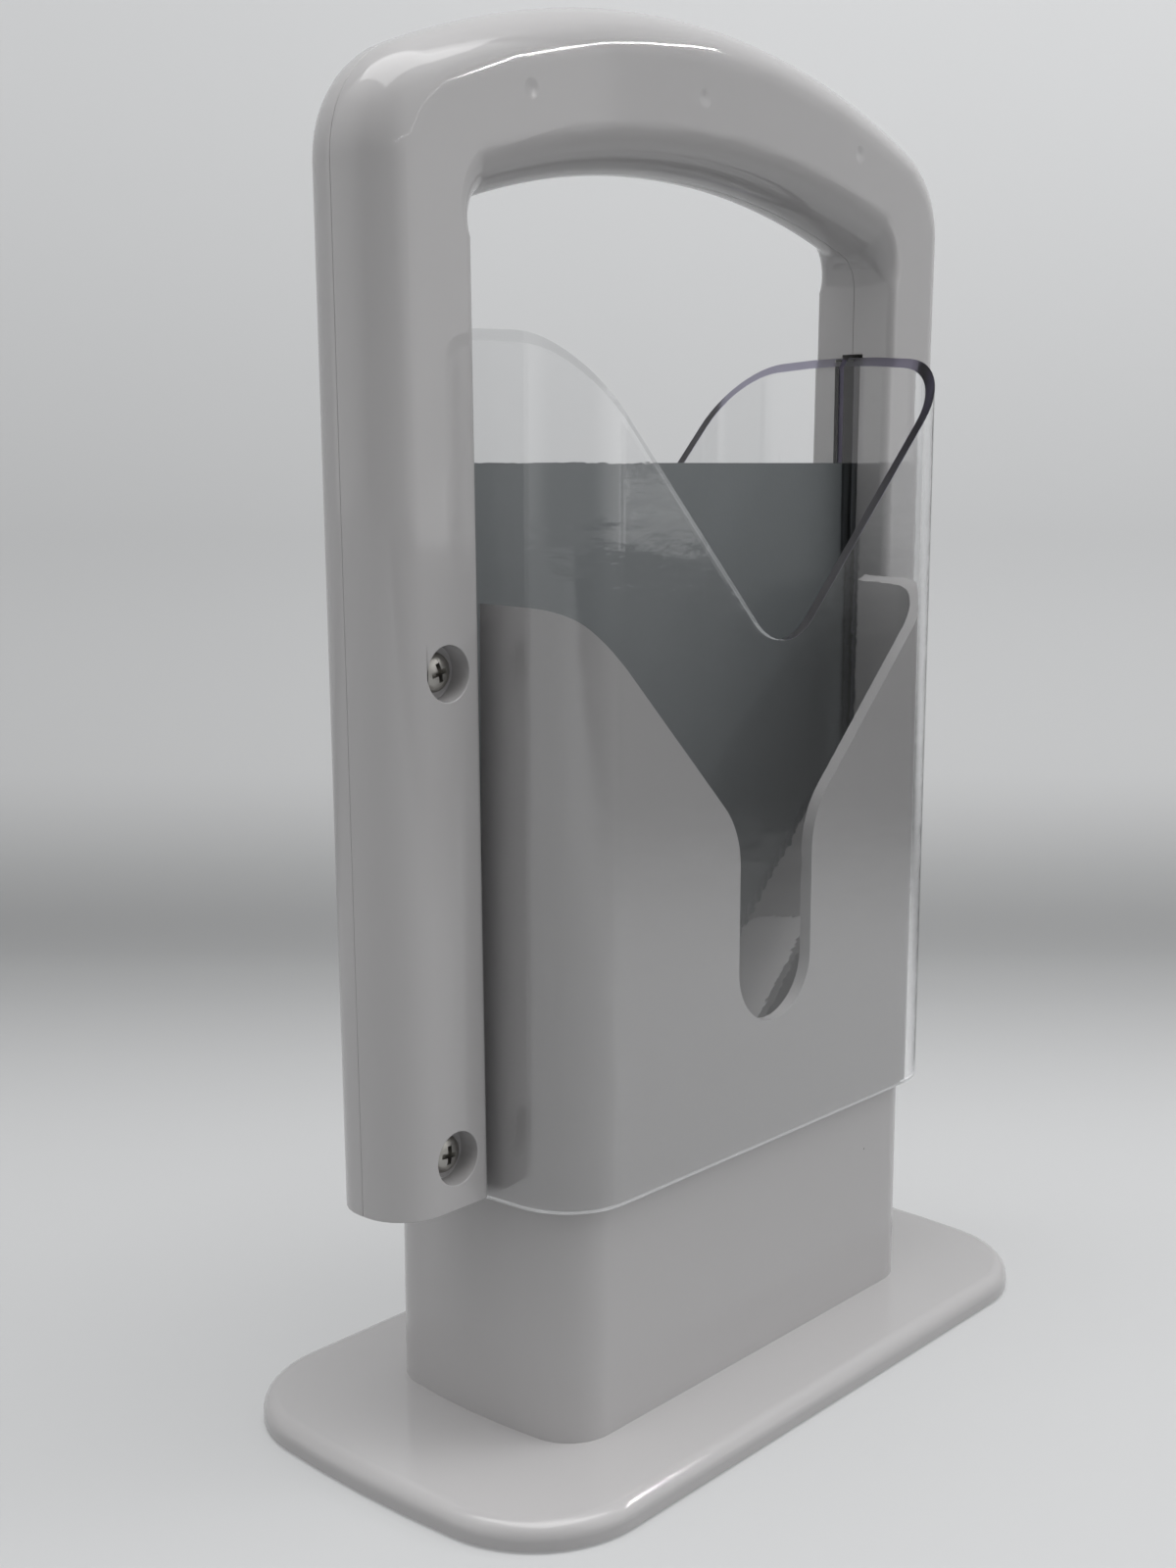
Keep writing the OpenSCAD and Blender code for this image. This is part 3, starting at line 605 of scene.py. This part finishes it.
screw_mesh = evaluated_mesh(screw_obj)
screw_obj.modifiers.clear()
screw_obj.data = screw_mesh
screw_mesh.shade_smooth()
screw_mesh.set_sharp_from_angle(angle=math.radians(32))
bpy.data.objects.remove(cutter)
print("one screw", len(screw_mesh.polygons), "faces")

# %% Copies on places
copy_tree, given, result = geometry_tree("copies_on_points", [
    ("Piece", "NodeSocketObject"), ("Places", "NodeSocketObject"), ("Turn", "NodeSocketRotation"),
    ("Material", "NodeSocketMaterial")])
one = add(copy_tree, "GeometryNodeObjectInfo", {"Object": given["Piece"]})
places = add(copy_tree, "GeometryNodeObjectInfo", {"Object": given["Places"]})
own_turn = add(copy_tree, "FunctionNodeRandomValue", data_type="FLOAT_VECTOR")
put(own_turn, {0: (0.0, 0.0, 0.0), 1: (0.0, 0.0, math.pi / 2), "Seed": 0})
as_turn = add(copy_tree, "FunctionNodeEulerToRotation", {0: own_turn.outputs[0]})
turn = add(copy_tree, "FunctionNodeRotateRotation", rotation_space="LOCAL")
put(turn, {"Rotation": given["Turn"], "Rotate By": as_turn.outputs[0]})
spread = add(copy_tree, "GeometryNodeInstanceOnPoints", {
    "Points": places.outputs["Geometry"], "Instance": one.outputs["Geometry"], "Rotation": turn.outputs[0]})
close_tree(copy_tree, spread.outputs[0], given["Material"], result)


def places_object(name, points):
    mesh = bpy.data.meshes.new(name)
    mesh.from_pydata([tuple(p) for p in points], [], [])
    obj = bpy.data.objects.new(name, mesh)
    scene.collection.objects.link(obj)
    return obj


# %% Set the handle's and the base's screws
def seat_of(name, axis):
    low, high = (Vector(c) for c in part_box(name))
    seat = (low + high) / 2
    seat[axis] = low[axis] + HEAD_H
    return seat


for body, prefix, axis, turn in (("slicer", "handle_screw_", 1, (-math.pi / 2, 0.0, 0.0)),
                                 ("base", "base_screw_", 2, (0.0, 0.0, 0.0))):
    names = sorted(n for n in nodes if n.startswith(prefix))
    seats = places_object(prefix + "places", [seat_of(n, axis) for n in names])
    screws = run_tree(copy_tree, prefix + "skin", {
        "Piece": screw_obj, "Places": seats, "Turn": turn, "Material": screw_steel})
    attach(screws, body)
    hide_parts(*names)
    bpy.data.objects.remove(seats)
bpy.data.objects.remove(screw_obj)

# %% [markdown]
# ## Feet
#
# Four rubber pads are let into the foot plate's underside. They hardly show, and their solids already have
# the right shape, so only their material is new.

# %% The rubber feet keep their solids
for name in sorted(nodes):
    if name.startswith("foot_") and name != "foot_plate":
        mesh = nodes[name].data
        mesh.materials.clear()
        mesh.materials.append(foot_rubber)
print("dressed the feet")

# %% [markdown]
# ## Studio
#
# The picture was taken on a white table against a white wall. Floor and wall are one sheet, bent in a large
# cove. The camera sees its pale colour with a soft grey band of painted shade where table and wall meet.

# %% The bent sheet
COVE_R, WALL_AT, SHEET_HALF = 0.16, 0.86, 4.0
SHEET_START, SHEET_TOP, COVE_STEPS = -3.0, 3.0, 16
below_camera = Vector((CAM_PLACE.x, CAM_PLACE.y, 0.0))
profile = [(SHEET_START, 0.0), (0.0, 0.0), (WALL_AT - COVE_R, 0.0)]
for i in range(1, COVE_STEPS + 1):
    a = math.radians(90.0 * i / COVE_STEPS)
    profile.append((WALL_AT - COVE_R + COVE_R * math.sin(a), COVE_R * (1 - math.cos(a))))
profile.append((WALL_AT, SHEET_TOP))
work = bmesh.new()
rows = []
for d, z in profile:
    middle = below_camera + ahead * d + Vector((0, 0, z))
    rows.append([work.verts.new(middle + across * w) for w in (-SHEET_HALF, SHEET_HALF)])
for low, high in zip(rows, rows[1:]):
    work.faces.new((low[0], low[1], high[1], high[0]))
bmesh.ops.recalc_face_normals(work, faces=work.faces)
stage_mesh = bpy.data.meshes.new("studio_sheet")
work.to_mesh(stage_mesh)
work.free()
stage_mesh.shade_smooth()
stage_obj = bpy.data.objects.new("studio_sheet", stage_mesh)
scene.collection.objects.link(stage_obj)
print("studio sheet", len(stage_mesh.polygons), "faces")

# %% [markdown]
# The sheet's greys follow the way up: one number grows along the floor and then up the wall, and a colour
# ramp turns it into a grey, darker at the cove as painted shade. What the camera sees is brighter than what
# the sheet gives to the slicer, so its glow is only for camera, glossy and transmission rays. Far to the
# right the floor's colour is darker for every ray but the camera's, a painted reflection of the darker real
# room, and the sheet's left side is painted a tenth darker, as painted shade.

# %% The sheet's finish
def seen_by(tree, rays):
    direct = calc(tree, "MAXIMUM", rays.outputs["Is Camera Ray"], rays.outputs["Is Glossy Ray"])
    return calc(tree, "MAXIMUM", direct, rays.outputs["Is Transmission Ray"])


# The dip to darker greys at the cove is painted shade where table and wall meet.
GREYS_WITH_PAINTED_BAND = [(0.0, 0.37), (0.15, 0.335), (0.33, 0.18), (0.42, 0.155), (0.54, 0.33), (0.75, 0.43), (1.0, 0.54)]
BAND_NEAR = below_camera.dot(ahead) + 0.45
BAND_FAR = below_camera.dot(ahead) + 1.25
SHEET_GLOW = 0.735
sheet_mat, tree, bsdf, _ = new_material("studio_sheet")
place = add(tree, "ShaderNodeNewGeometry").outputs["Position"]
band = remap(tree, along(tree, place, (ahead.x, ahead.y, 1.0)), (BAND_NEAR, BAND_FAR), (0.0, 1.0))
ramp = add(tree, "ShaderNodeValToRGB", {"Fac": band})
while len(ramp.color_ramp.elements) < len(GREYS_WITH_PAINTED_BAND):
    ramp.color_ramp.elements.new(0.5)
for stop, (at, grey) in zip(ramp.color_ramp.elements, GREYS_WITH_PAINTED_BAND):
    stop.position = at
    stop.color = (grey * 0.99, grey, grey * 1.01, 1.0)
ramp.color_ramp.interpolation = "B_SPLINE"
print("greys on the way up", len(GREYS_WITH_PAINTED_BAND))

# %% Where the sheet is painted darker, and who sees its glow
aside = along(tree, place, (across.x, across.y, 0.0))
# Painted reflection: far to the right the floor is darker for every ray but the camera's.
dark_room_reflection = remap(tree, aside, (0.30, 0.75), (1.0, 0.15), smooth=True)
# Painted shade: the sheet's left side is a tenth darker.
painted_left_shade = remap(tree, aside, (-0.35, 0.10), (0.90, 1.0), smooth=True)
height = add(tree, "ShaderNodeSeparateXYZ", {0: place}).outputs["Z"]
up_wall = remap(tree, height, (0.02, 0.15), (0.0, 1.0))
rays = add(tree, "ShaderNodeLightPath")
no_dark_room_reflection = calc(tree, "MAXIMUM", up_wall, rays.outputs["Is Camera Ray"])
shade = calc(tree, "MULTIPLY", mix_values(tree, no_dark_room_reflection, dark_room_reflection, 1.0), painted_left_shade)
shaded = add(tree, "ShaderNodeVectorMath", {0: ramp.outputs["Color"], "Scale": shade}, operation="SCALE")
grey = shaded.outputs[0]
put(bsdf, {
    "Base Color": grey, "Emission Color": grey,
    "Emission Strength": calc(tree, "MULTIPLY", seen_by(tree, rays), SHEET_GLOW),
    "Roughness": 0.5, "Specular IOR Level": 0.2})
stage_mesh.materials.append(sheet_mat)
print("material", sheet_mat.name)

# %% [markdown]
# ## Lamps
#
# One large lamp overhead gives most of the light, as a ceiling of pale cloth would. A small card stands low
# in front on the right: the front guard mirrors it as a soft bright patch over the blade.

# %% Large lamps
def lamp(name, place, aim, size, power):
    data = bpy.data.lights.new(name, "AREA")
    data.shape = "RECTANGLE"
    data.size, data.size_y = size
    data.energy = power
    obj = bpy.data.objects.new(name, data)
    scene.collection.objects.link(obj)
    obj.location = place
    obj.rotation_euler = (Vector(aim) - Vector(place)).to_track_quat("-Z", "Y").to_euler()


TARGET = (0.0, 0.0, 0.12)
lamp("overhead", (0.12, 0.00, 2.40), TARGET, (2.2, 2.2), 33.0)
lamp("glow_card", (0.706, -0.714, 0.158), (0.0, 0.0, 0.17), (0.16, 0.05), 0.014)
print("overhead lamp and glow card")

# %% [markdown]
# A row of small lights runs round the top of the studio, in front and to the right. Its reflection is the
# bright line on the front edge of the handle's arch. Nearest to the camera the lights are single small
# lamps, set along a straight line, and further round two thin strips stand for them.

# %% The row of small lights
ROW_START = Vector((0.562, -0.251, 0.67))
ROW_END = Vector((0.707, -0.843, 0.67))
DOTS, DOT_SIZE, DOT_POWER = 24, 0.005, 0.050
STRIP_W, STRIP_DROP = 0.004, 0.5
for i in range(DOTS):
    dot_place = ROW_START.lerp(ROW_END, i / (DOTS - 1))
    lamp(f"dot_{i:02d}", dot_place, TARGET, (DOT_SIZE, DOT_SIZE), DOT_POWER)
row_way = (ROW_END - ROW_START).normalized()
row_side = Vector((row_way.y, -row_way.x, 0.0))
strip_mid = ROW_END + row_way * 0.50
strip_aim = strip_mid + row_side - Vector((0.0, 0.0, STRIP_DROP))
lamp("strip_right", strip_mid, strip_aim, (0.96, STRIP_W), 0.25)
lamp("strip_front", (0.05, -1.72, 0.67), TARGET, (1.7, STRIP_W), 0.35)
print("small lights in the row", DOTS)

# %% [markdown]
# ## World
#
# The world gives the soft rest of the light. Its strength depends on the direction: it rises smoothly
# towards the front on the right, the back on the left and the top, so that glossy plastic shows no hard
# window edges. Where a glossy or transmission ray looks past the floor, it meets a paler backdrop, and the
# camera sees an even one.

# %% World
WORLD_DIM, WORLD_PALE, WORLD_FOR_CAMERA = 0.125, 0.40, 0.60
# direction, cosine where the glow begins, and how much it adds at its middle
GLOWS = (((0.68, -0.64, 0.34), 0.48, 0.84),
         ((0.10, 0.05, 1.00), 0.58, 1.60),
         ((-0.78, 0.58, 0.30), 0.52, 0.62))
world = bpy.data.worlds.new("studio")
scene.world = world
world.use_nodes = True
tree = world.node_tree
way = object_place(tree)
rays = add(tree, "ShaderNodeLightPath")
total = remap(tree, seen_by(tree, rays), (0.0, 1.0), (WORLD_DIM, WORLD_PALE))
for direction, begins, rise in GLOWS:
    facing = along(tree, way, Vector(direction).normalized())
    total = calc(tree, "ADD", total, remap(tree, facing, (begins, 1.0), (0.0, rise), smooth=True))
strength = mix_values(tree, rays.outputs["Is Camera Ray"], total, WORLD_FOR_CAMERA)
put(tree.nodes["Background"], {"Color": (1.0, 1.0, 1.0, 1.0), "Strength": strength})
scene.view_settings.view_transform = "Standard"
print("world", world.name, len(tree.nodes), "nodes")
